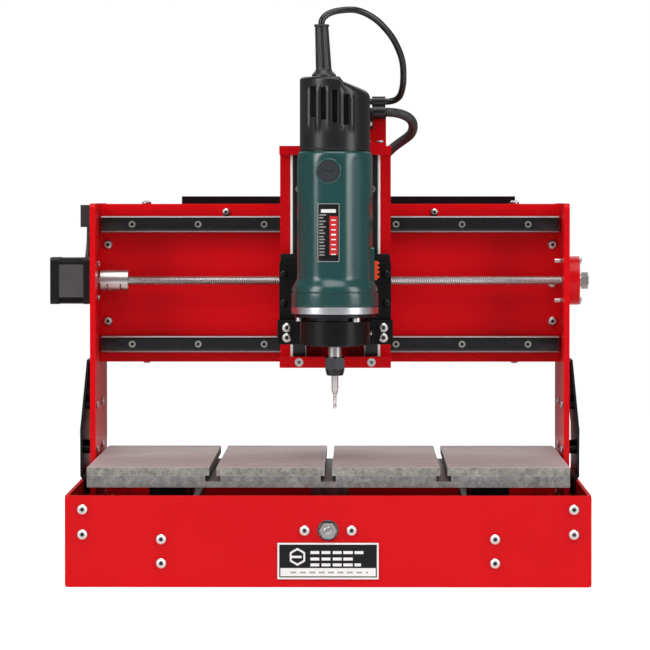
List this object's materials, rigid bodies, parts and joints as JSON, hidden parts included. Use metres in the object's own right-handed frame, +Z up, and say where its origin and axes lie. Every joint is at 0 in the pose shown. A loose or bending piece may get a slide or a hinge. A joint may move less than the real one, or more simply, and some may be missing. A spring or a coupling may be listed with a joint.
{
  "type": "desktop cnc router",
  "caption": "Desktop CNC router: fixed steel gantry on a box base, moving T-slot table, lead-screw drives on profile rails and a straight grinder as spindle.",
  "frame": {"origin": "centre of the base's underside, on the surface the machine stands on", "axes": "+X right seen from the front, along the gantry; +Y from the front panel to the back; +Z up"},
  "size_m": [0.488, 0.4635, 0.5002],
  "materials": {
    "red_paint": "gloss powder coat",
    "black_paint": "satin powder coat",
    "grey_paint": "matte",
    "rail_steel": "ground steel with light bevels",
    "block_steel": "dark steel with plastic end caps",
    "table_aluminium": "brushed, milled edges",
    "bed_aluminium": "mill finish",
    "bracket_aluminium": "machined",
    "motor_black": "satin",
    "bright_steel": "zinc plated",
    "dark_steel": "blackened",
    "screw_steel": "rolled thread",
    "coupler_aluminium": "turned",
    "bearing_red": "gloss",
    "housing_green": "satin gloss",
    "cap_black": "satin",
    "flange_metal": "cast and turned",
    "rubber_black": "satin",
    "cord_black": "gloss",
    "conduit_grey": "corrugated",
    "plate_black": "printed plate, light border",
    "copper": "lacquered windings",
    "board_green": "circuit board",
    "switch_orange": "gloss"
  },
  "bodies": {
    "base": {"front_panel": "red_paint", "rear_panel": "red_paint", "left_side_wall": "red_paint", "right_side_wall": "red_paint", "base_tray": "red_paint", "rail_beams": "grey_paint", "y_rails": "rail_steel", "y_motor": "motor_black", "y_front_bearing": "bracket_aluminium", "left_column": "red_paint", "right_column": "red_paint", "column_covers": "black_paint", "gantry_beam": "red_paint", "beam_back_plate": "red_paint", "x_rails": "rail_steel", "x_motor": "motor_black", "x_end_bearing": "bearing_red", "control_box": "black_paint", "control_box_lid": "black_paint", "control_board": "board_green", "cable_entry": "cap_black", "frame_bolts": "bright_steel", "rail_bolts": "bright_steel", "name_plate": "plate_black"},
    "table": {"table_bed": "bed_aluminium", "table_plates": "table_aluminium", "y_blocks": "block_steel", "y_drive_nut": "bracket_aluminium", "table_screws": "bright_steel"},
    "carriage": {"x_blocks": "block_steel", "z_back_plate": "red_paint", "z_top_plate": "red_paint", "z_bottom_plate": "red_paint", "z_rails": "rail_steel", "z_motor": "motor_black", "x_drive_nut": "bracket_aluminium", "cable_post": "red_paint", "cable_clip": "cap_black", "conduit": "conduit_grey", "carriage_bolts": "bright_steel"},
    "x_drive": {"x_screw": "screw_steel", "x_screw_fittings": "coupler_aluminium"},
    "y_drive": {"y_screw": "screw_steel", "y_screw_fittings": "coupler_aluminium"},
    "z_drive": {"z_screw": "screw_steel"},
    "head": {"z_blocks": "block_steel", "z_plate": "black_paint", "z_drive_nut": "bracket_aluminium", "spindle_clamp": "black_paint", "head_bolts": "bright_steel", "motor_housing": "housing_green", "rear_cap": "cap_black", "bearing_flange": "flange_metal", "brush_caps": "cap_black", "stator": "copper", "cord_boot": "rubber_black", "spindle_cord": "cord_black"},
    "spindle": {"spindle_shaft": "screw_steel", "collet_and_bit": "dark_steel"},
    "switch": {"power_slide": "switch_orange"}
  },
  "joints": [
    {"name": "table_slide", "type": "slide", "parent": "base", "child": "table", "axis": [0, 1, 0], "range_m": [-0.1, 0.1]},
    {"name": "carriage_slide", "type": "slide", "parent": "base", "child": "carriage", "axis": [1, 0, 0], "range_m": [-0.155, 0.145], "deforming": ["conduit"]},
    {"name": "head_slide", "type": "slide", "parent": "carriage", "child": "head", "axis": [0, 0, 1], "range_m": [-0.03, 0.08], "deforming": ["spindle_cord"]},
    {"name": "x_screw_spin", "type": "hinge", "parent": "base", "child": "x_drive", "pos_m": [0, 0.026, 0.256], "axis": [1, 0, 0], "continuous": true},
    {"name": "y_screw_spin", "type": "hinge", "parent": "base", "child": "y_drive", "pos_m": [0, 0, 0.0485], "axis": [0, 1, 0], "continuous": true},
    {"name": "z_screw_spin", "type": "hinge", "parent": "carriage", "child": "z_drive", "pos_m": [0.005, -0.008, 0.25], "axis": [0, 0, 1], "continuous": true},
    {"name": "spindle_spin", "type": "hinge", "parent": "head", "child": "spindle", "pos_m": [0.005, -0.072, 0.2], "axis": [0, 0, 1], "continuous": true},
    {"name": "power_switch", "type": "slide", "parent": "head", "child": "switch", "axis": [0, 0, 1], "range_m": [0, 0.006]}
  ],
  "couplings": [
    {"joint": "x_screw_spin", "follows": "carriage_slide", "rad_per_m": -785.4},
    {"joint": "y_screw_spin", "follows": "table_slide", "rad_per_m": -785.4},
    {"joint": "z_screw_spin", "follows": "head_slide", "rad_per_m": -785.4}
  ]
}
